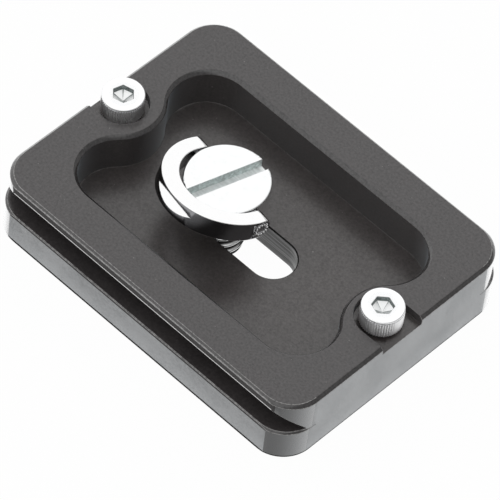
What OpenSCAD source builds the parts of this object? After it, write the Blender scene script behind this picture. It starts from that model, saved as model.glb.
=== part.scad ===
// Dovetail quick release plate for a small camera, lying on its camera face.
// Millimetres. +X runs along the plate, +Z points from the camera to the tripod.
// The origin is the middle of the underside. The tip of the camera screw
// stands on the same surface as the rubber pad.

/* [Plate] */
// Length of the plate
plate_l = 50.6; // [48:0.1:70]
// Width of the flange beside the camera
plate_w = 39.05; // [38.5:0.05:46]
// Thickness of the metal, from the camera face to the clamp face
plate_h = 9.8; // [9.4:0.1:12]
// Radius of the upright corners
corner_r = 4.6; // [2:0.1:8]
// Bevel round the ends and corners of the clamp face
end_bevel = 0.44; // [0.3:0.02:0.8]
// Bevel round the edge of the camera face
base_bevel = 0.26; // [0.2:0.02:0.8]

/* [Dovetail] */
// Width across the two clamping lips
lip_w = 38; // [36:0.1:38.4]
// Height of the upright side of a lip
lip_h = 1.57; // [1.2:0.01:3]
// Bevel along the top of a lip, what its flat side leaves of the one round the ends
lip_bevel = 0.28; // [0.1:0.02:0.42]
// Height of the flange beside the camera
flange_h = 5; // [4.2:0.1:6]
// Bevel round the corners of the upper edge of the flange
flange_bevel = 0.26; // [0.2:0.02:0.5]
// Angle of the undercut from the clamp face
undercut_angle = 45; // [35:1:55]
// Height of the narrow flat at the root of the undercut
root_h = 0.2; // [0.1:0.05:0.6]

/* [Pocket] */
// Depth of the pocket in the clamp face
pocket_depth = 5.75; // [5:0.05:7]
// Width of the pocket between its side walls
pocket_w = 26.2; // [22:0.1:27]
// Bevel round the rim of the pocket
pocket_bevel = 0.5; // [0.1:0.05:0.8]
// Radius of the round pocket corners
lobe_r = 5.3; // [4:0.1:6.5]
// Distance from an end of the plate to the centres of the round corners
lobe_inset = 10.4; // [9.8:0.1:12.3]
// Distance from an end of the plate to the centre of the curve round a stop screw
boss_inset = 1.7; // [-0.7:0.1:2.3]

/* [Screw slot] */
// Play of the camera thread across the slot
slot_play = 0.15; // [0.1:0.05:1.2]
// Distance from the middle to the centre of the left slot end
slot_left = 4.5; // [0:0.1:8]
// Distance from the middle to the centre of the right slot end
slot_right = 4; // [0:0.1:8]
// Bevel round the upper edge of the slot
slot_bevel = 0.15; // [0.05:0.05:0.5]

/* [Stop screws] */
// Distance from the left end of the plate to the left stop screw
stop_left_inset = 2.8; // [2.6:0.1:3.8]
// Distance from the right end of the plate to the right stop screw
stop_right_inset = 3.6; // [2.6:0.1:3.8]
// Width of the notch that seats a stop screw
notch_w = 6.8; // [6:0.1:7.2]
// Depth of the notch
notch_depth = 1.2; // [0.5:0.1:2]
// Diameter of the stop screw head
stop_head_d = 5.5; // [5:0.1:5.9]
// Height of the stop screw head
stop_head_h = 2.9; // [2:0.1:4]
// Size of the hexagonal socket across its flats
hex_flats = 2.5; // [1.5:0.1:3.2]
// Depth of the hexagonal socket
hex_depth = 1.4; // [0.8:0.1:1.8]
// Bevel round the top of the stop screw head
stop_bevel = 0.3; // [0.1:0.05:0.5]
// Diameter of the stop screw thread
stop_thread_d = 3; // [2:0.1:4]
// Length of the stop screw thread
stop_thread_l = 6; // [4:0.5:6.5]
// Depth of the tapped hole below the notch
stop_hole_depth = 7; // [6.6:0.1:7.8]
// How far the right stop screw is backed out of its seat
stop_right_lift = 0.4; // [0:0.1:1]
// Turn of the left stop screw about its own axis
stop_left_turn = 14.5; // [0:0.5:60]
// Turn of the right stop screw about its own axis
stop_right_turn = 42.5; // [0:0.5:60]

/* [Camera screw] */
// Diameter of the camera thread
thread_d = 6.1; // [5.9:0.05:6.3]
// Length of the thread below the head
thread_l = 9.05; // [8.5:0.05:12]
// Bevel at the tip of the thread
tip_bevel = 0.4; // [0.3:0.1:1.2]
// Diameter of the screw head
head_d = 10.9; // [9.5:0.1:11.1]
// Height of the screw head
head_h = 3; // [2.6:0.1:4]
// Rounding of the upper edge of the head
head_round = 0.2; // [0.1:0.05:0.6]
// Bevel round the lower edge of the head
head_bevel = 0.2; // [0.1:0.05:0.5]
// Width of the coin slot
coin_w = 1.6; // [1:0.1:2.4]
// Depth of the coin slot
coin_depth = 1.3; // [0.6:0.1:1.6]
// Turn of the coin slot from the pivot axis
coin_turn = 85.6; // [60:0.1:120]
// Turn of the screw about its own axis
screw_turn = -11.6; // [-180:0.1:180]

/* [Lifting ring] */
// Height of the ring pivot above the underside of the head
pivot_h = 1.45; // [1.2:0.05:2]
// Thickness of the ring
ring_t = 2.8; // [1.6:0.1:2.9]
// Width of the ring across its arms
ring_w = 15.4; // [14.6:0.1:17]
// Distance from the pivot to where the ring is widest
ring_waist = 0.76; // [0.2:0.02:1.4]
// Radius of the outer curve at the free end
ring_end_r = 7.3; // [6.6:0.05:7.5]
// Reach of the ring from its pivot to the free end
ring_reach = 9.1; // [8.9:0.05:12]
// Width of the opening between the arms
gap_w = 11.4; // [11.3:0.1:12.4]
// Radius of the inner curve at the free end
gap_end_r = 5.4; // [4.8:0.05:5.55]
// Reach of the opening from the pivot
gap_reach = 6.75; // [6.6:0.05:7.2]
// Depth of the nail groove across the free end
nail_depth = 0.8; // [0.3:0.05:1]
// Height of the nail groove above the middle of the ring
nail_h = 0.2; // [-0.4:0.05:0.4]
// How far the ring is lifted from flat
ring_lift = 17.4; // [0:0.1:180]

/* [Ring pins] */
// Diameter of the pins
pin_d = 1.6; // [1:0.1:1.8]
// Length of each pin inside the head
pin_bite = 1.8; // [1:0.1:2.6]
// Set-back of the pin end from the side of the ring
pin_set = 0.08; // [0:0.01:0.3]
// Bevel round the hole on the side of the ring
pin_hole_bevel = 0.2; // [0:0.05:0.4]

/* [Rubber pad] */
// Thickness of the pad
pad_t = 1; // [0.6:0.1:2]
// Height of the pad above the camera face
pad_proud = 0.5; // [0.2:0.1:0.55]
// Margin between the pad and the edge of the plate
pad_margin = 2.2; // [1:0.1:5]
// Width of the margin between the pad and the screw slot
pad_slot_margin = 0.8; // [0.4:0.1:2]

/* [Hidden] */
$fn = 96;
// Overrun of every cut, and overlap of joined blocks
over = 1;
// Gap of a fixed fit, such as a pin in its hole
fit_gap = 0.02;
// Gap round a pin that turns in its hole
turn_gap = 0.05;

// Heights above the surface that the plate lies on
camera_z = pad_proud;
flange_z = camera_z + flange_h;
clamp_z = camera_z + plate_h;
lip_z = clamp_z - lip_h;
floor_z = clamp_z - pocket_depth;
notch_z = clamp_z - notch_depth;
pivot_z = thread_l + pivot_h;

// The corner curves stand a little outside the long sides, which are then cut flat,
// so they meet the sides at a faint crease and the bevels along the sides are narrower
corner_swell = end_bevel - lip_bevel;

// Undercut, pocket and screw places
undercut_y = lip_w / 2 - (lip_z - flange_z - root_h) / tan(undercut_angle);
lobe_x = plate_l / 2 - lobe_inset;
lobe_y = pocket_w / 2 - lobe_r;
boss_x = plate_l / 2 - boss_inset;
lobe_to_boss = norm([boss_x - lobe_x, lobe_y]);
boss_r = lobe_to_boss - lobe_r;
stop_left_x = stop_left_inset - plate_l / 2;
stop_right_x = plate_l / 2 - stop_right_inset;
slot_w = thread_d + slot_play;
screw_x = -slot_left;

// Rest of the ring: its inner and outer curves share one waist
ring_end_y = ring_reach - ring_end_r;
gap_end_y = gap_reach - gap_end_r;
pin_out = ring_w / 2 - pin_set;
pin_in = head_d / 2 - pin_bite;

// Bevelled rectangle, the section of a block that runs along X or Y
module bevelled_section(half_w, low, high, low_bevel, high_bevel) {
    polygon([
        [-half_w + low_bevel, low],
        [half_w - low_bevel, low],
        [half_w, low + low_bevel],
        [half_w, high - high_bevel],
        [half_w - high_bevel, high],
        [-half_w + high_bevel, high],
        [-half_w, high - high_bevel],
        [-half_w, low + low_bevel]
    ]);
}

// Turns a section drawn in the XY plane upright, and runs it along X
module along_x(length) {
    rotate([90, 0, 90])
        linear_extrude(height = length, center = true)
            children();
}

// Turns a section drawn in the XY plane upright, and runs it along Y
module along_y(length) {
    rotate([90, 0, 0])
        linear_extrude(height = length, center = true)
            children();
}

// Block as long as the plate, with round corners and bevelled lower and upper edges
module rounded_block(half_w, low, high, low_bevel, high_bevel) {
    corner_x = plate_l / 2 - corner_r;
    corner_y = half_w - corner_r;
    along_x(2 * corner_x)
        bevelled_section(half_w, low, high, low_bevel, high_bevel);
    along_y(2 * corner_y)
        bevelled_section(plate_l / 2, low, high, low_bevel, high_bevel);
    for (sx = [-1, 1], sy = [-1, 1])
        translate([sx * corner_x, sy * corner_y, 0])
            rotate_extrude()
                polygon([
                    [0, low],
                    [corner_r - low_bevel, low],
                    [corner_r, low + low_bevel],
                    [corner_r, high - high_bevel],
                    [corner_r - high_bevel, high],
                    [0, high]
                ]);
}

// Wide flange beside the camera, and the narrower block above it
module plate_blank() {
    rounded_block(plate_w / 2 + corner_swell, camera_z, flange_z, base_bevel, flange_bevel);
    rounded_block(lip_w / 2 + corner_swell, flange_z - over, clamp_z, base_bevel, end_bevel);
}

// Undercut along one long side, with the flat sides of the flange and of the lip
module dovetail_cut() {
    side = max(plate_w, lip_w) / 2 + corner_swell + over;
    along_x(plate_l + 2 * over)
        polygon([
            [side, camera_z - over],
            [plate_w / 2, camera_z - over],
            [plate_w / 2, flange_z],
            [undercut_y, flange_z],
            [undercut_y, flange_z + root_h],
            [lip_w / 2, lip_z],
            [lip_w / 2, clamp_z + over],
            [side, clamp_z + over]
        ]);
}

// One layer of the pocket, whose outline grows from grow_low to grow_high
module pocket_layer(low, high, grow_low, grow_high) {
    span = lobe_to_boss;
    tangent_low = lobe_y * (1 - (lobe_r + grow_low) / span);
    tangent_high = lobe_y * (1 - (lobe_r + grow_high) / span);
    tangent_x = lobe_x + (boss_x - lobe_x) * (lobe_r + grow_high) / span;
    difference() {
        union() {
            along_x(2 * lobe_x)
                polygon([
                    [-pocket_w / 2 - grow_low, low],
                    [pocket_w / 2 + grow_low, low],
                    [pocket_w / 2 + grow_high, high],
                    [-pocket_w / 2 - grow_high, high]
                ]);
            along_x(2 * tangent_x)
                polygon([
                    [-tangent_low, low],
                    [tangent_low, low],
                    [tangent_high, high],
                    [-tangent_high, high]
                ]);
            for (sx = [-1, 1], sy = [-1, 1])
                translate([sx * lobe_x, sy * lobe_y, low])
                    cylinder(h = high - low, r1 = lobe_r + grow_low, r2 = lobe_r + grow_high);
        }
        for (sx = [-1, 1])
            translate([sx * boss_x, 0, low])
                cylinder(h = high - low, r1 = boss_r - grow_low, r2 = boss_r - grow_high);
    }
}

module pocket() {
    rim_z = clamp_z - pocket_bevel;
    pocket_layer(floor_z, rim_z, 0, 0);
    pocket_layer(rim_z, clamp_z + over, 0, pocket_bevel + over);
}

// Long hole with round ends, wider by grow_high at its upper face
module slot_cut(low, high, grow_low, grow_high) {
    half = slot_w / 2;
    translate([(slot_right - slot_left) / 2, 0, 0])
        along_x(slot_left + slot_right)
            polygon([
                [-half - grow_low, low],
                [half + grow_low, low],
                [half + grow_high, high],
                [-half - grow_high, high]
            ]);
    for (x = [-slot_left, slot_right])
        translate([x, 0, low])
            cylinder(h = high - low, r1 = half + grow_low, r2 = half + grow_high);
}

// Notch and tapped hole for the stop screw at x, open to the end on its side
module stop_seat(x) {
    end_x = sign(x) * (plate_l / 2 + over);
    high = notch_depth + over;
    translate([x, 0, notch_z])
        cylinder(h = high, d = notch_w);
    translate([(x + end_x) / 2, 0, notch_z + high / 2])
        cube([abs(end_x - x), notch_w, high], center = true);
    translate([x, 0, notch_z - stop_hole_depth])
        cylinder(h = stop_hole_depth + over, d = stop_thread_d);
}

// Flat rounded slab that the pad and its recess share
module pad_slab(low, high, gap) {
    half_l = plate_l / 2 - pad_margin + gap;
    half_w = plate_w / 2 - pad_margin + gap;
    r = corner_r - pad_margin + gap;
    translate([0, 0, low])
        linear_extrude(height = high - low)
            union() {
                square([2 * half_l, 2 * (half_w - r)], center = true);
                square([2 * (half_l - r), 2 * half_w], center = true);
                for (sx = [-1, 1], sy = [-1, 1])
                    translate([sx * (half_l - r), sy * (half_w - r)])
                        circle(r = r);
            }
}

module plate() {
    color([0.17, 0.17, 0.18])
        difference() {
            plate_blank();
            dovetail_cut();
            mirror([0, 1, 0])
                dovetail_cut();
            pocket();
            slot_cut(-over, floor_z + over, 0, 0);
            slot_cut(floor_z - slot_bevel, floor_z + over, 0, slot_bevel + over);
            stop_seat(stop_left_x);
            stop_seat(stop_right_x);
            difference() {
                pad_slab(-over, pad_t, fit_gap);
                slot_cut(-over, pad_t + over, pad_slot_margin, pad_slot_margin);
            }
        }
}

// Rubber pad, let into the camera face and standing proud of it
module camera_pad() {
    color([0.1, 0.1, 0.1])
        difference() {
            pad_slab(0, pad_t, 0);
            slot_cut(-over, pad_t + over, pad_slot_margin + fit_gap, pad_slot_margin + fit_gap);
        }
}

// Cap screw at x, lifted from the floor of its notch and turned about its axis
module stop_screw(x, lift, turn) {
    head_r = stop_head_d / 2;
    shank_r = stop_thread_d / 2 - fit_gap;
    color([0.86, 0.87, 0.88])
        translate([x, 0, notch_z + lift])
            rotate([0, 0, turn])
                difference() {
                    rotate_extrude()
                        polygon([
                            [0, -stop_thread_l],
                            [shank_r - stop_bevel, -stop_thread_l],
                            [shank_r, -stop_thread_l + stop_bevel],
                            [shank_r, 0],
                            [head_r, 0],
                            [head_r, stop_head_h - stop_bevel],
                            [head_r - stop_bevel, stop_head_h],
                            [0, stop_head_h]
                        ]);
                    translate([0, 0, stop_head_h - hex_depth])
                        cylinder(h = hex_depth + over, d = hex_flats / cos(30), $fn = 6);
                }
}

module stop_screw_left() {
    stop_screw(stop_left_x, 0, stop_left_turn);
}

module stop_screw_right() {
    stop_screw(stop_right_x, stop_right_lift, stop_right_turn);
}

// Moves a piece drawn about the head's pivot to its place on the plate
module at_pivot() {
    translate([screw_x, 0, pivot_z])
        rotate([0, 0, screw_turn])
            children();
}

// Coin slotted screw whose head holds the two pins of the ring
module camera_screw() {
    head_r = head_d / 2;
    thread_r = thread_d / 2;
    color([0.86, 0.87, 0.88])
        difference() {
            translate([screw_x, 0, 0])
                rotate_extrude()
                    difference() {
                        polygon([
                            [0, 0],
                            [thread_r - tip_bevel, 0],
                            [thread_r, tip_bevel],
                            [thread_r, thread_l],
                            [head_r - head_bevel, thread_l],
                            [head_r, thread_l + head_bevel],
                            [head_r, thread_l + head_h],
                            [0, thread_l + head_h]
                        ]);
                        translate([head_r - head_round, thread_l + head_h - head_round])
                            difference() {
                                square([head_round + over, head_round + over]);
                                circle(r = head_round);
                            }
                    }
            at_pivot()
                rotate([0, 0, coin_turn])
                    translate([0, 0, thread_l + head_h - pivot_z - coin_depth + (coin_depth + over) / 2])
                        cube([head_d + 2 * over, coin_w, coin_depth + over], center = true);
            at_pivot()
                for (side = [-1, 1])
                    translate([side * (pin_in - turn_gap), 0, 0])
                        rotate([0, side * 90, 0])
                            cylinder(h = pin_bite + over, d = pin_d + 2 * turn_gap);
        }
}

// Radius of the side arcs that join the waist to the end curve without a corner
function side_arc_r(half_w, end_r, rise) =
    (half_w * half_w + rise * rise - end_r * end_r) / (2 * (half_w - end_r));

// Horseshoe outline: an end arc and two side arcs that meet it smoothly
module horseshoe(half_w, end_r, end_y) {
    rise = end_y - ring_waist;
    side_r = side_arc_r(half_w, end_r, rise);
    side_x = side_r - half_w;
    join_y = ring_waist + side_r * rise / norm([side_x, rise]);
    intersection() {
        translate([-side_x, -ring_waist])
            circle(r = side_r);
        translate([side_x, -ring_waist])
            circle(r = side_r);
        union() {
            translate([0, -end_y])
                circle(r = end_r);
            translate([-half_w, -join_y])
                square([2 * half_w, join_y + half_w]);
        }
    }
}

// Flat C of the ring, drawn with its pivot on the X axis
module ring_outline() {
    difference() {
        horseshoe(ring_w / 2, ring_end_r, ring_end_y);
        horseshoe(gap_w / 2, gap_end_r, gap_end_y);
        translate([-gap_w / 2, -ring_waist])
            square([gap_w, ring_waist + ring_w]);
    }
}

// Lifting ring, round about its pivot and grooved across its free end
module lifting_ring() {
    half_t = ring_t / 2;
    groove = nail_depth + over;
    color([0.88, 0.89, 0.9])
        at_pivot()
            rotate([-ring_lift, 0, 0])
                difference() {
                    intersection() {
                        linear_extrude(height = ring_t, center = true)
                            ring_outline();
                        union() {
                            translate([-ring_w, -2 * ring_reach, -ring_t])
                                cube([2 * ring_w, 2 * ring_reach, 2 * ring_t]);
                            rotate([0, 90, 0])
                                cylinder(h = 2 * ring_w, r = half_t, center = true);
                        }
                    }
                    along_x(2 * ring_w)
                        polygon([
                            [nail_depth - ring_reach, nail_h],
                            [nail_depth - ring_reach - groove, nail_h + groove],
                            [nail_depth - ring_reach - groove, nail_h - groove]
                        ]);
                    rotate([0, 90, 0])
                        cylinder(h = 2 * ring_w, d = pin_d + 2 * fit_gap, center = true);
                    for (side = [-1, 1])
                        translate([side * (pin_out - pin_hole_bevel), 0, 0])
                            rotate([0, side * 90, 0])
                                cylinder(
                                    h = pin_hole_bevel + over,
                                    r1 = pin_d / 2 + fit_gap,
                                    r2 = pin_d / 2 + fit_gap + pin_hole_bevel + over
                                );
                }
}

// Pin fixed in one arm of the ring, turning in the head
module ring_pin(side) {
    color([0.8, 0.81, 0.82])
        at_pivot()
            translate([side * pin_in, 0, 0])
                rotate([0, side * 90, 0])
                    cylinder(h = pin_out - pin_in, d = pin_d);
}

module ring_pin_left() {
    ring_pin(-1);
}

module ring_pin_right() {
    ring_pin(1);
}

plate();
camera_pad();
stop_screw_left();
stop_screw_right();
camera_screw();
lifting_ring();
ring_pin_left();
ring_pin_right();
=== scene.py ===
"""Looks of a dovetail quick release plate, lying on its camera face with the clamp side up."""

import math

import bmesh
import bpy
from mathutils import Matrix, Vector


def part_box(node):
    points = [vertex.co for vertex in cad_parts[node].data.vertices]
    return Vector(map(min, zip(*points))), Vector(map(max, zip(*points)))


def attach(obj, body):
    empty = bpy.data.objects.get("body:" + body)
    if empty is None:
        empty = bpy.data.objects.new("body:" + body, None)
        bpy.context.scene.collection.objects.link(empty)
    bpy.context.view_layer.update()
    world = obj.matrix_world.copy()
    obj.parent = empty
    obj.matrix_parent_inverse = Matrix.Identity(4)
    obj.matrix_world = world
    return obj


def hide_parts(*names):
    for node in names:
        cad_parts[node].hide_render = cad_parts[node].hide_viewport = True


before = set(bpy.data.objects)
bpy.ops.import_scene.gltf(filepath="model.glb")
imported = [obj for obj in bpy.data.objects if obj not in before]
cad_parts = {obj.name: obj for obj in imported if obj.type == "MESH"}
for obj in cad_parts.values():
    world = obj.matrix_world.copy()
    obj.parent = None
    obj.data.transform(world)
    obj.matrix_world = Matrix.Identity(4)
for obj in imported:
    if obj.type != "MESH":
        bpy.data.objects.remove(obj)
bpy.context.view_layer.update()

MM = 0.001
MERGE_DISTANCE = 0.002 * MM
Z_AXIS = Vector((0, 0, 1))
WHITE = (1, 1, 1, 1)

# Camera of the photograph: directions in degrees, lengths in millimetres
CAMERA_AZIMUTH = 38.6
CAMERA_ELEVATION = 51.9
CAMERA_ROLL = 7.49
CAMERA_DISTANCE = 637.7
CAMERA_TARGET = (1.46, -1.32, 4.8)
FOCAL_PIXELS = 5228
IMAGE_PIXELS = 500
SENSOR_WIDTH = 36

# Studio: the way to its brightest part, where that part begins and is full, and how bright the rest is
BRIGHT_WAY = (-0.6, -0.1, 0.8)
BRIGHT_FROM = 0.0
BRIGHT_FULL = 0.3
DIM_ROOM = 0.35

# Table: half its width in metres, its depth below the plate in millimetres, and its share of plain white
TABLE_HALF = 1.5
TABLE_DEPTH = 0.01
TABLE_GLOW = 0.975

# Plate, in millimetres: its end, where its round corners start, and a line behind the pocket's long walls
PLATE_END = 25.3
CORNER_START = 21
BEHIND_POCKET = 14

# Plate, in millimetres: the clamp face and the depth of its bevels, the lip, the pocket's floor and the slot
CLAMP_Z = 10.3
BEVEL_DEPTH = 0.3
LIP_Z = 8.73
LIP_Y = 19
FLOOR_Z = 4.55
SLOT_LEFT = -4.5
SLOT_RIGHT = 4
SLOT_HALF = 3.125
SLOT_RIM = 0.3

# Heights in millimetres at which a finish of the plate's sides ends; they bound painted highlight, shade and
# shadow, and the sides' painted lightening towards the foot
LIP_HIGHLIGHT_Z = 8.92
LIP_EDGE_HIGHLIGHT_Z = 9.78
FLANGE_DARK_HIGH = 5.4
FLANGE_DARK_LOW = 5.02
FOOT_SHADOW_LINE = 0.97
PALE_HIGH = 3.6
PALE_LOW = 0.6

# Tests on a face: play in millimetres, and shares of its unit normal
HAIR = 0.1
THIN_HAIR = 0.01
UPRIGHT = 0.3
FLAT_SIDE = 0.95
FLATTEST_SIDE = 0.99
TURNED = 0.1
BEVEL_SLOPES = (0.5, 0.9)
FOOT_SLOPES = (-0.95, -0.1)
RING_EDGE = 0.2
COIN_WALL = 0.5

# Stop screws: their sizes in millimetres and the turn of each socket in degrees
STOP_TURNS = {"left": 14.5, "right": 42.5}
STOP_AROUND = 96
STOP_SHANK = 6
STOP_SHANK_R = 1.48
STOP_TIP = 0.3
STOP_HEAD_R = 2.75
STOP_CORE_R = 2.6
STOP_HEAD_H = 2.9
STOP_HEEL = 0.08
STOP_RIM = 0.22
STOP_RIM_INSET = 0.02
STOP_RIM_STEPS = 5
STOP_GROOVE = 0.12

# Sockets and knurls of the stop screws, in millimetres, and the width of a socket's creases, painted dark as
# shade, in degrees
SOCKET_SIDES = 6
SOCKET_FLATS = 2.5
SOCKET_BREAK = 0.06
SOCKET_WALL = 0.85
SOCKET_DEPTH = 1.4
SOCKET_CREASE = 2.5
KNURLS = 54
KNURL_RIDGE = 0.17
KNURL_START = 0.12
KNURL_END = 0.28

# Camera screw, in millimetres: its axis, its head, its thread and its coin slot, whose turn is in degrees
SCREW_X = -4.5
HEAD_Z = 9.05
HEAD_TOP = 12.05
NECK = 0.2
THREAD_R = 3.05
THREAD_ROOT_R = 2.42
THREAD_PITCH = 1.27
THREAD_TIP = 0.4
THREAD_AROUND = 65
THREAD_ROWS = 100
COIN_HALF = 0.8
COIN_DEPTH = 1.35
COIN_PLAY = 0.02
COIN_LIP = 0.05
COIN_TURN = 74

# Ring: its pivot in millimetres and its turns in degrees
PIVOT_Z = 10.5
SCREW_TURN = -11.6
RING_LIFT = 17.4

# Staking marks round the ends of the ring's pins, in millimetres
PIN_OUT = 7.62
STAKE_OUT = 0.06
STAKE_R = 0.78
STAKE_MARKS = 12
STAKE_DENT = 0.14


class Value:
    """One socket of a graph. Arithmetic on it adds Math nodes."""

    def __init__(self, graph, socket):
        self.graph = graph
        self.socket = socket

    def math(self, operation, *others):
        return self.graph.math(operation, self, *others)

    def __add__(self, other):
        return self.math("ADD", other)

    def __sub__(self, other):
        return self.math("SUBTRACT", other)

    def __mul__(self, other):
        return self.math("MULTIPLY", other)

    def __truediv__(self, other):
        return self.math("DIVIDE", other)

    def __rsub__(self, other):
        return self.graph.math("SUBTRACT", other, self)

    __radd__ = __add__
    __rmul__ = __mul__

    def least(self, other):
        return self.math("MINIMUM", other)

    def most(self, other):
        return self.math("MAXIMUM", other)

    def above(self, other):
        return self.math("GREATER_THAN", other)

    def size(self):
        return self.math("ABSOLUTE")

    def part(self):
        return self.math("FRACT")

    def squared(self):
        return self.math("POWER", 2)

    def root(self):
        return self.math("SQRT")

    def sine(self):
        return self.math("SINE")

    def cosine(self):
        return self.math("COSINE")

    def between(self, low, high):
        return self.most(low).least(high)

    def ramp(self, start, end):
        """0 at the start value, 1 at the end value, straight between them and level past them."""
        return ((self - start) / (end - start)).between(0, 1)


class Graph:
    """Nodes of a shader or geometry tree."""

    def __init__(self, tree):
        self.tree = tree

    def node(self, kind, settings=None, inputs=None, out=0):
        """Adds a node of a kind, with its settings and inputs, and gives one of its outputs."""
        made = self.tree.nodes.new(kind)
        for name, setting in (settings or {}).items():
            setattr(made, name, setting)
        for key, value in (inputs or {}).items():
            self.feed(made.inputs[key], value)
        return Value(self, made.outputs[out])

    def feed(self, socket, value):
        if isinstance(value, Value):
            self.tree.links.new(value.socket, socket)
        else:
            socket.default_value = value

    def math(self, operation, *terms):
        return self.node("ShaderNodeMath", {"operation": operation}, dict(enumerate(terms)))

    def split(self, vector):
        outputs = self.node("ShaderNodeSeparateXYZ", inputs={0: vector}).socket.node.outputs
        return [Value(self, socket) for socket in outputs]

    def join(self, x, y, z):
        return self.node("ShaderNodeCombineXYZ", inputs={0: x, 1: y, 2: z})

    def seen_by(self, *rays):
        """1 for rays of these kinds, and 0 for the rest."""
        outputs = self.node("ShaderNodeLightPath").socket.node.outputs
        seen = Value(self, outputs[rays[0]])
        for ray in rays[1:]:
            seen = seen.most(Value(self, outputs[ray]))
        return seen


class Finish(Graph):
    """A material with one Principled shader."""

    def __init__(self, name):
        self.material = bpy.data.materials.new(name)
        self.material.use_nodes = True
        super().__init__(self.material.node_tree)
        self.shader = self.tree.nodes["Principled BSDF"]
        self.place = self.node("ShaderNodeTexCoord", out="Object")

    def noise(self, scale, detail=2, roughness=0.5, place=None):
        """Noise with about as many grains to the metre as its scale."""
        inputs = {"Vector": place or self.place, "Scale": scale, "Detail": detail, "Roughness": roughness}
        return self.node("ShaderNodeTexNoise", inputs=inputs)

    def streaks(self, scale, squeeze, turn=0):
        """Noise drawn out along the axes whose squeeze is small.

        The turn, in degrees, comes after the squeeze: it picks other streaks, but not their direction.
        """
        inputs = {"Vector": self.place, "Rotation": (0, 0, math.radians(-turn)), "Scale": squeeze}
        drawn = self.node("ShaderNodeMapping", inputs=inputs)
        return self.noise(scale, detail=3, roughness=0.6, place=drawn)

    def mix(self, factor, first, second):
        """Colour between two colours, each a tuple or a link."""
        inputs = {0: factor}
        for key, colour in ((6, first), (7, second)):
            inputs[key] = colour if isinstance(colour, Value) else (*colour, 1)
        return self.node("ShaderNodeMix", {"data_type": "RGBA"}, inputs, out=2)

    def bump(self, height, strength, depth):
        """Relief whose depth is in millimetres."""
        inputs = {"Strength": strength, "Distance": depth * MM, "Height": height}
        return self.node("ShaderNodeBump", inputs=inputs)

    def wear(self, **sockets):
        """Sets or links the shader's sockets, named with underscores for spaces, and gives the material."""
        for name, value in sockets.items():
            self.feed(self.shader.inputs[name.replace("_", " ")], value)
        return self.material


def black_anodised(
    name,
    dark,
    light,
    roughness=0.36,
    index=1.5,
    sealed=True,
    seal_roughness=0.26,
    sheen=0.2,
    clouds=0.0,
    foot=None,
):
    """Black anodised aluminium: cloudy dye, blasted grain, dust, and, when a foot colour is given, painted
    light that makes it lighter towards the foot.
    """
    finish = Finish(name)
    cloud = finish.noise(scale=160, detail=3)
    grain = finish.noise(scale=3200, detail=3, roughness=0.65)
    dust = finish.noise(scale=2600, detail=1).ramp(0.78, 0.8) * 0.28
    mottle = (cloud * 0.5 + grain * 2.4).ramp(0.95, 1.95)
    colour = finish.mix(mottle, dark, light)
    if foot:
        # Painted light: lighter towards the foot
        height = finish.split(finish.place)[2]
        colour = finish.mix(height.ramp(PALE_HIGH * MM, PALE_LOW * MM), colour, foot)
    seal = 0.0
    if sealed:
        seal = ((grain - 0.5) * 1.6 + (cloud - 0.5) * clouds + 0.85).between(0, 1)
    return finish.wear(
        Base_Color=finish.mix(dust, colour, (0.3, 0.29, 0.28)),
        Roughness=roughness + cloud * 0.05 + grain * 0.06,
        IOR=index,
        Sheen_Weight=sheen,
        Sheen_Roughness=0.4,
        Sheen_Tint=(0.8, 0.92, 1, 1),
        Coat_Weight=seal,
        Coat_Roughness=seal_roughness,
        Coat_IOR=index + 0.05,
        Normal=finish.bump(grain, strength=0.2, depth=0.02),
    )


def shaded_corner():
    """Black anodised corner, near black at its start as painted shade, and lighter and more metallic towards
    the end of the plate as painted reflection.
    """
    finish = Finish("plate_corner")
    along = finish.split(finish.place)[0].size()
    near_end = along.ramp(CORNER_START * MM, PLATE_END * MM)
    end_light = near_end * near_end * near_end
    return finish.wear(
        Base_Color=finish.mix(end_light, (0.008, 0.009, 0.01), (0.24, 0.245, 0.25)),
        Roughness=0.22,
        Metallic=end_light,
        IOR=1.4,
        Coat_Weight=1.0,
        Coat_Roughness=0.12,
        Coat_IOR=1.45,
    )


def glancing_corner():
    """Black anodised corner that shines where it is seen along its face."""
    finish = Finish("plate_glance")
    facing = finish.node("ShaderNodeLayerWeight", inputs={"Blend": 0.5}, out="Facing")
    shine = ((facing - 0.5) * 3).between(0, 1)
    return finish.wear(
        Base_Color=finish.mix(shine, (0.03, 0.032, 0.034), (0.96, 0.965, 0.97)),
        Roughness=0.3 - shine * 0.15,
        Metallic=shine,
        IOR=1.8,
        Coat_Weight=1.0,
        Coat_Roughness=0.16,
        Coat_IOR=1.8,
    )


def milled_black():
    """Black anodised cut of an end mill: fine lines along the slot, some of them bare."""
    finish = Finish("plate_milled")
    lines = finish.streaks(scale=1000, squeeze=(0.05, 0.05, 5))
    bare = lines.ramp(0.42, 0.67)
    return finish.wear(
        Base_Color=finish.mix(bare, (0.012, 0.012, 0.012), (0.2, 0.2, 0.2)),
        Roughness=0.3 + lines * 0.2,
        Coat_Weight=bare * 0.8,
        Coat_Roughness=0.25,
        Normal=finish.bump(lines, strength=0.6, depth=0.03),
    )


def bright_plating(name, colour, roughness, squeeze=(1, 1, 1), turn=0, relief=0.05, uneven=0.05):
    """Bright plating on steel: faint drawn streaks and a slightly uneven shine."""
    finish = Finish(name)
    streaks = finish.streaks(scale=900, squeeze=squeeze, turn=turn)
    cloud = finish.noise(scale=500, detail=3)
    polished = ((streaks - 0.5) * 2.5 + cloud).between(0, 1)
    dull = tuple(channel * (1 - uneven) for channel in colour)
    return finish.wear(
        Base_Color=finish.mix(polished, dull, colour),
        Roughness=roughness + (streaks + cloud) * (uneven / 2),
        Metallic=1.0,
        Normal=finish.bump(streaks, strength=relief, depth=0.02),
    )


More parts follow.
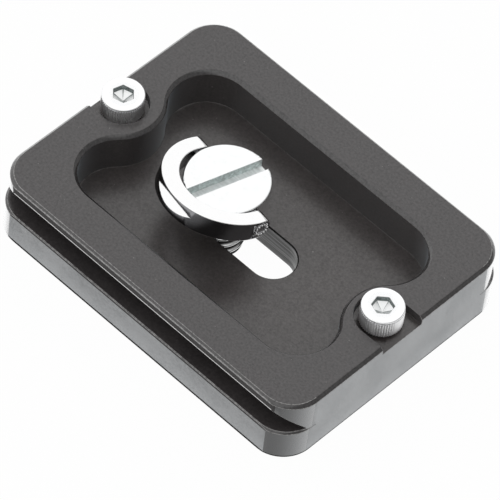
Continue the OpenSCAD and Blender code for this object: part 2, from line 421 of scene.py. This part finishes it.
def rolled_thread():
    """Bright plating whose grooves are painted dark towards their roots as shade."""
    finish = Finish("thread_zinc")
    across, along, _ = finish.split(finish.place)
    reach = ((across - SCREW_X * MM).squared() + along.squared()).root()
    root_shade = (reach.ramp(THREAD_R * MM, THREAD_ROOT_R * MM) * 2.4 - 0.3).between(0, 1)
    return finish.wear(
        Base_Color=finish.mix(root_shade, (0.93, 0.94, 0.94), (0.03, 0.03, 0.03)),
        Roughness=0.1 + root_shade * 0.3,
        Metallic=1.0,
    )


def moulded_rubber():
    """Matt black rubber with a fine moulded grain."""
    finish = Finish("pad_rubber")
    grain = finish.noise(scale=5000, detail=4, roughness=0.6)
    cloud = finish.noise(scale=250)
    return finish.wear(
        Base_Color=finish.mix(cloud, (0.018, 0.018, 0.018), (0.032, 0.031, 0.03)),
        Roughness=0.72 + grain * 0.16,
        Normal=finish.bump(grain, strength=0.35, depth=0.04),
    )


# Finishes of the plate
PLATE_BLACK = black_anodised("plate_black", dark=(0.016, 0.0125, 0.0125), light=(0.04, 0.034, 0.034))
PLATE_POCKET = black_anodised("plate_pocket", dark=(0.022, 0.017, 0.016), light=(0.05, 0.042, 0.04))
# Lighter edges: partly anodising worn thin, partly painted highlight
PLATE_EDGE_WEAR_AND_HIGHLIGHT = black_anodised("plate_edge", dark=(0.05, 0.048, 0.047), light=(0.34, 0.33, 0.325))
# Near-white strip for the lip's lower edge: a painted highlight
PLATE_LOWER_LIP_HIGHLIGHT = black_anodised("plate_rubbed", dark=(0.6, 0.595, 0.59), light=(0.9, 0.89, 0.885))
# Brighter, bluer copy of the anodised black for the upright outside faces, as painted reflection, painted
# lighter towards the foot
PLATE_SIDE = black_anodised(
    "plate_side",
    dark=(0.022, 0.024, 0.026),
    light=(0.045, 0.05, 0.054),
    roughness=0.3,
    index=1.82,
    seal_roughness=0.16,
    sheen=0.4,
    clouds=1.2,
    foot=(0.15, 0.158, 0.166),
)
# Duller, darker copy of the anodised black for the lip's face and the flange's top: painted shade
PLATE_LIP_SHADE = black_anodised(
    "plate_lip",
    dark=(0.02, 0.018, 0.018),
    light=(0.04, 0.037, 0.037),
    roughness=0.5,
    index=1.33,
    sealed=False,
    sheen=0,
)
PLATE_BEVEL = black_anodised(
    "plate_bevel",
    dark=(0.026, 0.024, 0.024),
    light=(0.05, 0.047, 0.047),
    roughness=0.12,
    seal_roughness=0.06,
    sheen=0,
)
# Matt near-black for the slot's rim, the lower bevel and a strip at the foot: painted shadow
PLATE_SHADOW = black_anodised(
    "plate_foot",
    dark=(0.01, 0.01, 0.01),
    light=(0.02, 0.02, 0.02),
    roughness=0.6,
    index=1.2,
    sealed=False,
    sheen=0,
)
PLATE_CORNER = shaded_corner()
PLATE_GLANCE = glancing_corner()
PLATE_MILLED = milled_black()
PLATE_FINISHES = [
    PLATE_BLACK,
    PLATE_SIDE,
    PLATE_LIP_SHADE,
    PLATE_BEVEL,
    PLATE_MILLED,
    PLATE_SHADOW,
    PLATE_EDGE_WEAR_AND_HIGHLIGHT,
    PLATE_POCKET,
    PLATE_CORNER,
    PLATE_LOWER_LIP_HIGHLIGHT,
    PLATE_GLANCE,
]

# Finishes of the stop screws
STOP_ZINC = bright_plating("stop_zinc", (0.985, 0.99, 0.995), roughness=0.1, uneven=0.02)
SOCKET_ZINC = bright_plating("socket_zinc", (0.98, 0.99, 0.99), roughness=0.35)
# Darker, greener copy of the plating for the socket's walls and creases: painted shade
SOCKET_SHADE = bright_plating(
    "socket_walls", (0.42, 0.46, 0.455), roughness=0.16, squeeze=(4, 4, 0.3), relief=0.4, uneven=0.5
)
# Darker copy of the plating for the core between the knurls: painted shade
KNURL_ROOT_SHADE = bright_plating("knurl_root", (0.75, 0.75, 0.755), roughness=0.3)
KNURL_ZINC = bright_plating("knurl_zinc", (0.995, 0.995, 1), roughness=0.42)

# Finishes of the camera screw
SCREW_ZINC = bright_plating("screw_zinc", (0.94, 0.95, 0.95), roughness=0.12)
COIN_FLOOR = bright_plating(
    "coin_floor", (0.98, 1, 1), roughness=0.4, squeeze=(0.3, 3, 3), turn=COIN_TURN, relief=1.0, uneven=0.3
)
# Darker, greener copy of the coin slot's plating for its walls: painted shade
COIN_WALL_SHADE = bright_plating(
    "coin_walls", (0.9, 0.97, 0.96), roughness=0.4, squeeze=(0.3, 3, 3), turn=COIN_TURN, relief=1.0,
    uneven=0.45
)
THREAD_ZINC = rolled_thread()

# Finishes of the ring, its pins and the pad
RING_NICKEL = bright_plating("ring_nickel", (0.995, 0.995, 0.995), roughness=0.04, uneven=0.01)
# Dark copy of the ring's nickel for its walls: painted dark reflection
RING_SIDE_SHADE = bright_plating("ring_side", (0.3, 0.3, 0.31), roughness=0.16)
PIN_STEEL = bright_plating("pin_steel", (0.6, 0.6, 0.61), roughness=0.3)
PAD_RUBBER = moulded_rubber()


def make_object(name, mesh, materials):
    """An object whose place is in its mesh."""
    data = bpy.data.meshes.new(name)
    mesh.to_mesh(data)
    mesh.free()
    made = bpy.data.objects.new(name, data)
    bpy.context.scene.collection.objects.link(made)
    for material in materials:
        data.materials.append(material)
    return made


def settle(made):
    """Turns an object's modifiers into its own plain mesh."""
    bpy.context.view_layer.update()
    depsgraph = bpy.context.evaluated_depsgraph_get()
    data = bpy.data.meshes.new_from_object(made.evaluated_get(depsgraph))
    made.modifiers.clear()
    made.data = data


def soften(made, width, wear_and_highlight=None):
    """Breaks the sharp edges, as tumbling does, keeps the flats flat, and may give the broken edges a
    lighter finish that stands for wear and painted highlight.
    """
    bevel = made.modifiers.new("edge_break", "BEVEL")
    bevel.width = width * MM
    bevel.segments = 2
    bevel.limit_method = "ANGLE"
    bevel.angle_limit = math.radians(30)
    bevel.use_clamp_overlap = False
    if wear_and_highlight:
        bevel.material = list(made.data.materials).index(wear_and_highlight)
    flats = made.modifiers.new("flats", "WEIGHTED_NORMAL")
    flats.weight = 100
    settle(made)


def merged_copy(node):
    """A closed mesh of a CAD node."""
    mesh = bmesh.new()
    mesh.from_mesh(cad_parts[node].data)
    bmesh.ops.remove_doubles(mesh, verts=mesh.verts, dist=MERGE_DISTANCE)
    for face in mesh.faces:
        face.smooth = True
    return mesh


def cut_level(mesh, faces, height, clear_below=False):
    """Cuts faces along a level line at a height in millimetres, and may clear what is below it."""
    edges = dict.fromkeys(edge for face in faces for edge in face.edges)
    verts = dict.fromkeys(vert for face in faces for vert in face.verts)
    bmesh.ops.bisect_plane(
        mesh,
        geom=[*verts, *edges, *faces],
        plane_co=Z_AXIS * height * MM,
        plane_no=Z_AXIS,
        clear_inner=clear_below,
    )


def paint(made, finish, chosen, over=None):
    """Gives a finish to the faces chosen by their middle, in millimetres, and normal.

    Only faces of the first finish are painted over, or else those of the finishes that are given.
    """
    slots = list(made.data.materials)
    old = over or slots[:1]
    for face in made.data.polygons:
        if slots[face.material_index] in old and chosen(face.center / MM, face.normal):
            face.material_index = slots.index(finish)


def fit(made, body, slot, *nodes):
    """Puts a finished piece on its body in the place of its CAD nodes."""
    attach(made, body)
    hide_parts(*nodes)


class Pattern(Graph):
    """A Geometry Nodes tree with named inputs."""

    def __init__(self, name, **inputs):
        super().__init__(bpy.data.node_groups.new(name, "GeometryNodeTree"))
        interface = self.tree.interface
        self.keys = {}
        for label, kind in {**inputs, "Material": "Material"}.items():
            socket = interface.new_socket(name=label, in_out="INPUT", socket_type="NodeSocket" + kind)
            self.keys[label] = socket.identifier
        interface.new_socket(name="Mesh", in_out="OUTPUT", socket_type="NodeSocketGeometry")
        self.entry = self.tree.nodes.new("NodeGroupInput")

    def given(self, label):
        return Value(self, self.entry.outputs[label])

    def end(self, shape, smooth=True):
        """Ends the tree in one real mesh with the material."""
        shape = self.node("GeometryNodeRealizeInstances", inputs={0: shape})
        shape = self.node("GeometryNodeSetShadeSmooth", inputs={"Geometry": shape, "Shade Smooth": smooth})
        material = self.given("Material")
        shape = self.node("GeometryNodeSetMaterial", inputs={"Geometry": shape, "Material": material})
        self.feed(self.tree.nodes.new("NodeGroupOutput").inputs[0], shape)

    def make(self, name, material, place, **values):
        """A plain mesh made by the tree with these values, moved to its place."""
        made = make_object(name, bmesh.new(), [])
        modifier = made.modifiers.new(name, "NODES")
        modifier.node_group = self.tree
        for label, value in {**values, "Material": material}.items():
            modifier[self.keys[label]] = value
        settle(made)
        made.data.transform(place)
        return made


def circle_of(name, shape, **inputs):
    """Tree that sets copies of a shape round a circle, each turned to face outwards."""
    pattern = Pattern(name, Count="Int", Radius="Float", **inputs)
    circle = pattern.node("GeometryNodeMeshCircle", inputs={
        "Vertices": pattern.given("Count"),
        "Radius": pattern.given("Radius"),
    })
    turn = pattern.node("GeometryNodeInputIndex") * math.tau / pattern.given("Count")
    placed = pattern.node("GeometryNodeInstanceOnPoints", inputs={
        "Points": circle,
        "Instance": shape(pattern),
        "Rotation": pattern.node("FunctionNodeEulerToRotation", inputs={0: pattern.join(0, 0, turn)}),
    })
    pattern.end(placed, smooth=False)
    return pattern


def knurl_shape(pattern):
    """Upright four-sided ridge with an edge outwards."""
    return pattern.node("GeometryNodeMeshCylinder", inputs={
        "Vertices": 4,
        "Radius": pattern.given("Ridge"),
        "Depth": pattern.given("Height"),
    })


def dent_shape(pattern):
    """Small ball, half sunk, that stands for a punch mark."""
    return pattern.node("GeometryNodeMeshIcoSphere", inputs={
        "Radius": pattern.given("Dent"),
        "Subdivisions": 2,
    })


def thread_pattern():
    """Tree of a right-hand thread: a grid wrapped round the axis, its radius set by the helix."""
    pattern = Pattern(
        "thread",
        Length="Float",
        Pitch="Float",
        Crest="Float",
        Root="Float",
        Tip="Float",
        Around="Int",
        Rows="Int",
    )
    grid = pattern.node("GeometryNodeMeshGrid", inputs={
        "Size X": 1.0,
        "Size Y": 1.0,
        "Vertices X": pattern.given("Around"),
        "Vertices Y": pattern.given("Rows"),
    })
    across, along, _ = pattern.split(pattern.node("GeometryNodeInputPosition"))
    angle = across * math.tau
    height = (along + 0.5) * pattern.given("Length")

    # Whole turns are added so that no turn along the thread is negative, and have no part of their own
    whole_turns = 8
    phase = (height / pattern.given("Pitch") - across + whole_turns).part()
    flank = (phase - 0.5).size().ramp(0.06, 0.46)
    crest = pattern.given("Crest").least(pattern.given("Tip") + height)
    root = pattern.given("Root").least(crest)

    # The grid's first and last rows are drawn in to the axis, which closes both ends
    inner_rows = (0.4999 - along.size()).above(0)
    radius = (root + (crest - root) * flank) * inner_rows
    place = pattern.join(angle.cosine() * radius, angle.sine() * radius, height)
    wrapped = pattern.node("GeometryNodeSetPosition", inputs={"Geometry": grid, "Position": place})
    pattern.end(pattern.node("GeometryNodeMergeByDistance", inputs={
        "Geometry": wrapped,
        "Distance": MERGE_DISTANCE,
    }))
    return pattern


def hexagon(turn):
    """Radius of the socket's outline at an angle, both in radians."""
    side = math.tau / SOCKET_SIDES
    return lambda angle: SOCKET_FLATS / 2 / math.cos((angle - turn) % side - side / 2)


def turned(rows, around):
    """Closed mesh through rows of a height, a radius and whether the band below the row is smooth.

    A radius may be a function of the angle, and 0 closes an end. Bands that aren't smooth get the second
    material.
    """
    mesh = bmesh.new()
    rings = []
    for height, radius, _ in rows:
        if radius == 0:
            rings.append([mesh.verts.new((0, 0, height * MM))] * around)
            continue
        ring = []
        for step in range(around):
            angle = math.tau * step / around
            reach = radius(angle) if callable(radius) else radius
            place = Vector((reach * math.cos(angle), reach * math.sin(angle), height))
            ring.append(mesh.verts.new(place * MM))
        rings.append(ring)
    for (_, _, smooth), lower, upper in zip(rows[1:], rings, rings[1:]):
        for step in range(around):
            following = (step + 1) % around
            corners = [lower[step], lower[following], upper[following], upper[step]]
            face = mesh.faces.new(list(dict.fromkeys(corners)))
            face.smooth = smooth
            face.material_index = 0 if smooth else 1
    bmesh.ops.recalc_face_normals(mesh, faces=mesh.faces)
    return mesh


def on_long_side(middle, normal, flat=FLAT_SIDE):
    """Flat faces of the lip and of the flange."""
    return abs(middle.y) > LIP_Y - HAIR and abs(normal.y) > flat


def long_sides(mesh):
    """Faces of a plain plate that are on its long sides."""
    middles = [(face, face.calc_center_median() / MM) for face in mesh.faces]
    return [face for face, middle in middles if on_long_side(middle, face.normal, FLATTEST_SIDE)]


def side_strip(low, high):
    """Strip of the long sides between two heights."""
    return lambda middle, normal: on_long_side(middle, normal) and low < middle.z < high


def outside(middle, normal):
    """Upright faces of the plate's outline."""
    past_pocket = abs(middle.y) > BEHIND_POCKET or abs(middle.x) > PLATE_END - HAIR
    return past_pocket and abs(normal.z) < UPRIGHT


def round_corner(middle, normal):
    return outside(middle, normal) and abs(normal.x) > TURNED and abs(normal.y) > TURNED


def front_right_corner(middle, normal):
    """Round corner at the front right, and the one across from it."""
    return round_corner(middle, normal) and middle.x * middle.y < 0


def front_left_corner(middle, normal):
    """Round corner at the front left, and the one across from it."""
    return round_corner(middle, normal) and middle.x * middle.y > 0


def in_slot(middle):
    inside = SLOT_LEFT - SLOT_HALF - SLOT_RIM < middle.x < SLOT_RIGHT + SLOT_HALF + SLOT_RIM
    return inside and abs(middle.y) < SLOT_HALF + SLOT_RIM and middle.z < FLOOR_Z - THIN_HAIR


def slot_wall(middle, normal):
    return in_slot(middle) and abs(normal.z) < UPRIGHT


def slot_rim(middle, normal):
    return in_slot(middle) and normal.z > UPRIGHT


def top_bevel(middle, normal):
    return BEVEL_SLOPES[0] < normal.z < BEVEL_SLOPES[1]


def in_pocket(middle, normal):
    """Walls and floor of the pocket and of the notches."""
    inside = abs(middle.y) < BEHIND_POCKET and abs(middle.x) < PLATE_END - HAIR
    return inside and middle.z < CLAMP_Z - BEVEL_DEPTH


def pocket_edge(middle, normal):
    """Edge round the pocket and the notches in the clamp face."""
    return abs(middle.y) < BEHIND_POCKET - 2 * HAIR and middle.z > CLAMP_Z - HAIR


def lower_bevel(middle, normal):
    return middle.z < 10 * HAIR and FOOT_SLOPES[0] < normal.z < FOOT_SLOPES[1]


def foot_shadow_strip(middle, normal):
    return outside(middle, normal) and middle.z < FOOT_SHADOW_LINE


def build_plate():
    """Plate with edges painted lighter for wear and highlight, burnished bevels, milled slot walls and
    glossy sides, and painted highlight, shade and shadow on its lip, flange, corners, slot rim and foot.
    """
    mesh = merged_copy("plate")
    for height in (LIP_HIGHLIGHT_Z, LIP_EDGE_HIGHLIGHT_Z, FLANGE_DARK_LOW, FLANGE_DARK_HIGH):
        cut_level(mesh, long_sides(mesh), height)
    cut_level(mesh, list(mesh.faces), FOOT_SHADOW_LINE)
    made = make_object("anodised_plate", mesh, PLATE_FINISHES)
    soften(made, width=0.05, wear_and_highlight=PLATE_EDGE_WEAR_AND_HIGHLIGHT)
    black_or_edge_highlight = [PLATE_BLACK, PLATE_EDGE_WEAR_AND_HIGHLIGHT]
    sides = [PLATE_SIDE, PLATE_CORNER]
    # Painted highlight along the lip's lower edge
    paint(made, PLATE_LOWER_LIP_HIGHLIGHT, side_strip(LIP_Z - HAIR, LIP_HIGHLIGHT_Z))
    # Painted shade on the middle of the lip's face
    paint(made, PLATE_LIP_SHADE, side_strip(LIP_HIGHLIGHT_Z, LIP_EDGE_HIGHLIGHT_Z))
    # Upper lip face painted lighter: wear and painted highlight
    paint(made, PLATE_EDGE_WEAR_AND_HIGHLIGHT, side_strip(LIP_EDGE_HIGHLIGHT_Z, CLAMP_Z))
    # Painted shade on the top of the flange, under the lip
    paint(made, PLATE_LIP_SHADE, side_strip(FLANGE_DARK_LOW, FLANGE_DARK_HIGH))
    paint(made, PLATE_MILLED, slot_wall)
    # Painted shade on the slot's rim
    paint(made, PLATE_SHADOW, slot_rim, over=black_or_edge_highlight)
    paint(made, PLATE_BEVEL, top_bevel)
    # Painted shade near the front right crease, turning to painted reflection towards the end
    paint(made, PLATE_CORNER, front_right_corner)
    paint(made, PLATE_GLANCE, front_left_corner)
    # Painted reflection on the upright outside faces
    paint(made, PLATE_SIDE, outside)
    paint(made, PLATE_POCKET, in_pocket, over=black_or_edge_highlight)
    paint(made, PLATE_BLACK, pocket_edge, over=[PLATE_EDGE_WEAR_AND_HIGHLIGHT])
    # Painted shadow on the lower bevel and along the foot
    paint(made, PLATE_SHADOW, lower_bevel, over=[*black_or_edge_highlight, *sides, PLATE_GLANCE])
    paint(made, PLATE_SHADOW, foot_shadow_strip, over=sides)
    fit(made, "plate", "plate_anodised", "plate")


def build_pad():
    """Rubber pad with rounded edges."""
    made = make_object("rubber_pad", merged_copy("camera_pad"), [PAD_RUBBER])
    soften(made, width=0.08)
    fit(made, "plate", "pad_rubber", "camera_pad")


def stop_screw_rows(turn):
    """Profile of a stop screw from its tip to the point of its socket, whose turn is in radians."""
    socket = hexagon(turn)
    top = STOP_HEAD_H
    rows = [
        (-STOP_SHANK, 0, True),
        (-STOP_SHANK, STOP_SHANK_R - STOP_TIP, True),
        (-STOP_SHANK + STOP_TIP, STOP_SHANK_R, True),
        (0, STOP_SHANK_R, True),
        (0, STOP_CORE_R - STOP_HEEL, True),
        (STOP_HEEL, STOP_CORE_R, True),
        (top - STOP_RIM - STOP_GROOVE, STOP_CORE_R, True),
    ]
    for step in range(STOP_RIM_STEPS + 1):
        rise = math.pi / 2 * step / STOP_RIM_STEPS
        reach = STOP_HEAD_R - STOP_RIM_INSET - STOP_RIM * (1 - math.cos(rise))
        rows.append((top - STOP_RIM * (1 - math.sin(rise)), reach, True))
    rows += [
        (top, lambda angle: socket(angle) + SOCKET_BREAK, True),
        (top - SOCKET_BREAK, socket, True),
        (top - SOCKET_WALL, socket, False),
        (top - SOCKET_DEPTH, 0, False),
    ]
    return rows


def build_stop_screw(side, knurls):
    """Cap screw with a rolled rim, a pointed hexagonal socket and a knurled side."""
    node = "stop_screw_" + side
    low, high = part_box(node)
    top = STOP_HEAD_H
    foot = Vector(((low[0] + high[0]) / 2, (low[1] + high[1]) / 2, high[2] - top * MM))
    mesh = turned(stop_screw_rows(math.radians(STOP_TURNS[side])), STOP_AROUND)
    head = make_object("cap_screw_" + side, mesh, [STOP_ZINC, SOCKET_ZINC, SOCKET_SHADE, KNURL_ROOT_SHADE])

    def shaded_wall_or_crease(middle, normal):
        width = 360 / SOCKET_SIDES
        turn = (math.degrees(math.atan2(middle.y, middle.x)) - STOP_TURNS[side]) % width
        return abs(normal.z) < UPRIGHT or abs(turn - width / 2) > width / 2 - SOCKET_CREASE

    def head_side(middle, normal):
        return abs(normal.z) < UPRIGHT and 0 < middle.z < top - STOP_RIM

    # Painted shade on the socket's walls and creases
    paint(head, SOCKET_SHADE, shaded_wall_or_crease, over=[SOCKET_ZINC])
    # Painted shade on the core between the knurls
    paint(head, KNURL_ROOT_SHADE, head_side)
    head.data.transform(Matrix.Translation(foot))
    height = top - STOP_RIM - KNURL_START - KNURL_END
    ridges = knurls.make(
        "knurls_" + side,
        KNURL_ZINC,
        Matrix.Translation(foot + Z_AXIS * (KNURL_START + height / 2) * MM),
        Count=KNURLS,
        Radius=(STOP_HEAD_R - KNURL_RIDGE) * MM,
        Ridge=KNURL_RIDGE * MM,
        Height=height * MM,
    )
    for piece in (head, ridges):
        fit(piece, "plate", "fastener_zinc", node)


def build_camera_screw():
    """Slotted head cut from the CAD solid, on a rolled thread."""
    mesh = merged_copy("camera_screw")
    cut_level(mesh, list(mesh.faces), HEAD_Z - NECK, clear_below=True)
    bmesh.ops.holes_fill(mesh, edges=[edge for edge in mesh.edges if edge.is_boundary])
    turn = math.radians(COIN_TURN)
    across = Vector((-math.sin(turn), math.cos(turn), 0))
    axis = Vector((SCREW_X, 0, 0))

    def coin_slot(middle, normal):
        inside = abs((middle - axis).dot(across)) < COIN_HALF + COIN_PLAY
        return inside and HEAD_TOP - COIN_DEPTH < middle.z < HEAD_TOP - COIN_LIP

    def coin_wall(middle, normal):
        return abs(normal.z) < COIN_WALL

    head = make_object("slotted_head", mesh, [SCREW_ZINC, COIN_FLOOR, COIN_WALL_SHADE])
    soften(head, width=0.06)
    paint(head, COIN_FLOOR, coin_slot)
    # Painted shade on the coin slot's walls
    paint(head, COIN_WALL_SHADE, coin_wall, over=[COIN_FLOOR])
    thread = thread_pattern().make(
        "screw_thread",
        THREAD_ZINC,
        Matrix.Translation(axis * MM),
        Length=(HEAD_Z - NECK) * MM,
        Pitch=THREAD_PITCH * MM,
        Crest=THREAD_R * MM,
        Root=THREAD_ROOT_R * MM,
        Tip=(THREAD_R - THREAD_TIP) * MM,
        Around=THREAD_AROUND,
        Rows=THREAD_ROWS,
    )
    for piece in (head, thread):
        fit(piece, "screw", "screw_plated", "camera_screw")


def build_ring():
    """Ring with rounded edges and its walls painted dark as a reflection, its two pins, and the marks that
    stake each pin.
    """
    head_turn = Matrix.Rotation(math.radians(SCREW_TURN), 4, "Z")
    lift = Matrix.Rotation(math.radians(-RING_LIFT), 4, "X")
    flat_way = (head_turn @ lift).to_3x3() @ Z_AXIS

    def ring_edge(middle, normal):
        return abs(normal.dot(flat_way)) < RING_EDGE

    ring = make_object("plated_ring", merged_copy("lifting_ring"), [RING_NICKEL, RING_SIDE_SHADE])
    soften(ring, width=0.1)
    # Painted dark reflection on the ring's walls
    paint(ring, RING_SIDE_SHADE, ring_edge)
    fit(ring, "ring", "ring_plated", "lifting_ring")
    dents = circle_of("staking", dent_shape, Dent="Float")
    pivot = Matrix.Translation(Vector((SCREW_X, 0, PIVOT_Z)) * MM) @ head_turn
    facing_out = Matrix.Rotation(math.pi / 2, 4, "Y")
    for side, sign in (("left", -1), ("right", 1)):
        node = "ring_pin_" + side
        pin = make_object("hinge_" + node, merged_copy(node), [PIN_STEEL])
        soften(pin, width=0.12)
        fit(pin, "ring", "pin_steel", node)
        end = Matrix.Translation((sign * (PIN_OUT + STAKE_OUT) * MM, 0, 0))
        marks = dents.make(
            "staking_" + side,
            RING_NICKEL,
            pivot @ end @ facing_out,
            Count=STAKE_MARKS,
            Radius=STAKE_R * MM,
            Dent=STAKE_DENT * MM,
        )
        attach(marks, "ring")


def way_to(azimuth, elevation):
    """Unit vector from the object to something that stands in a direction in degrees."""
    turn = math.radians(azimuth)
    rise = math.radians(elevation)
    return Vector((math.sin(turn) * math.cos(rise), -math.cos(turn) * math.cos(rise), math.sin(rise)))


def build_camera():
    """Camera in the place that the photograph was taken from."""
    back = way_to(CAMERA_AZIMUTH, CAMERA_ELEVATION)
    right = Matrix.Rotation(math.radians(CAMERA_ROLL), 3, back) @ Z_AXIS.cross(back).normalized()
    data = bpy.data.cameras.new("photo_camera")
    data.sensor_width = SENSOR_WIDTH
    data.lens = FOCAL_PIXELS / IMAGE_PIXELS * SENSOR_WIDTH
    data.clip_start = 0.05
    camera = bpy.data.objects.new("photo_camera", data)
    place = (Vector(CAMERA_TARGET) + back * CAMERA_DISTANCE) * MM
    turn = Matrix((right, back.cross(right), back)).transposed().to_4x4()
    camera.matrix_world = Matrix.Translation(place) @ turn
    bpy.context.scene.collection.objects.link(camera)
    bpy.context.scene.camera = camera


def build_table():
    """White table that keeps a light shadow of the object."""
    material = bpy.data.materials.new("white_table")
    material.use_nodes = True
    graph = Graph(material.node_tree)
    graph.tree.nodes.clear()
    seen = graph.seen_by("Is Camera Ray", "Is Glossy Ray", "Is Transmission Ray")
    mixed = graph.node("ShaderNodeMixShader", inputs={
        0: seen * TABLE_GLOW,
        1: graph.node("ShaderNodeBsdfDiffuse", inputs={"Color": (0.8, 0.8, 0.8, 1)}),
        2: graph.node("ShaderNodeEmission", inputs={"Color": WHITE, "Strength": 1.0}),
    })
    graph.feed(graph.tree.nodes.new("ShaderNodeOutputMaterial").inputs[0], mixed)
    mesh = bmesh.new()
    place = Matrix.Translation(-Z_AXIS * TABLE_DEPTH * MM)
    bmesh.ops.create_grid(mesh, x_segments=1, y_segments=1, size=TABLE_HALF, matrix=place)
    table = make_object("table", mesh, [material])


def build_world():
    """White studio, bright overhead and on the left of the object, and dim on its right."""
    world = bpy.data.worlds.new("studio")
    bpy.context.scene.world = world
    world.use_nodes = True
    graph = Graph(world.node_tree)
    towards = graph.node(
        "ShaderNodeVectorMath",
        {"operation": "DOT_PRODUCT"},
        {0: graph.node("ShaderNodeTexCoord", out="Generated"), 1: Vector(BRIGHT_WAY).normalized()},
        out="Value",
    )
    room = graph.node("ShaderNodeMapRange", {"interpolation_type": "SMOOTHSTEP"}, {
        "Value": towards,
        "From Min": BRIGHT_FROM,
        "From Max": BRIGHT_FULL,
        "To Min": DIM_ROOM,
        "To Max": 1.0,
    })
    background = graph.tree.nodes["Background"]
    graph.feed(background.inputs["Color"], WHITE)
    graph.feed(background.inputs["Strength"], room.most(graph.seen_by("Is Camera Ray")))


def build_lamp(name, azimuth, elevation, distance, size, power):
    """Square soft lamp that faces the object from a direction in degrees."""
    data = bpy.data.lights.new(name, "AREA")
    data.size = size
    data.energy = power
    lamp = bpy.data.objects.new(name, data)
    way = way_to(azimuth, elevation)
    lamp.location = way * distance
    lamp.rotation_euler = way.to_track_quat("Z", "Y").to_euler()
    bpy.context.scene.collection.objects.link(lamp)


build_camera()
build_plate()
build_pad()
KNURL_PATTERN = circle_of("knurling", knurl_shape, Ridge="Float", Height="Float")
for stop_side in STOP_TURNS:
    build_stop_screw(stop_side, KNURL_PATTERN)
build_camera_screw()
build_ring()
build_table()
build_world()
build_lamp("back_softbox", azimuth=CAMERA_AZIMUTH + 180, elevation=52, distance=0.8, size=0.4, power=0.05)

bpy.context.scene.view_settings.view_transform = "Standard"
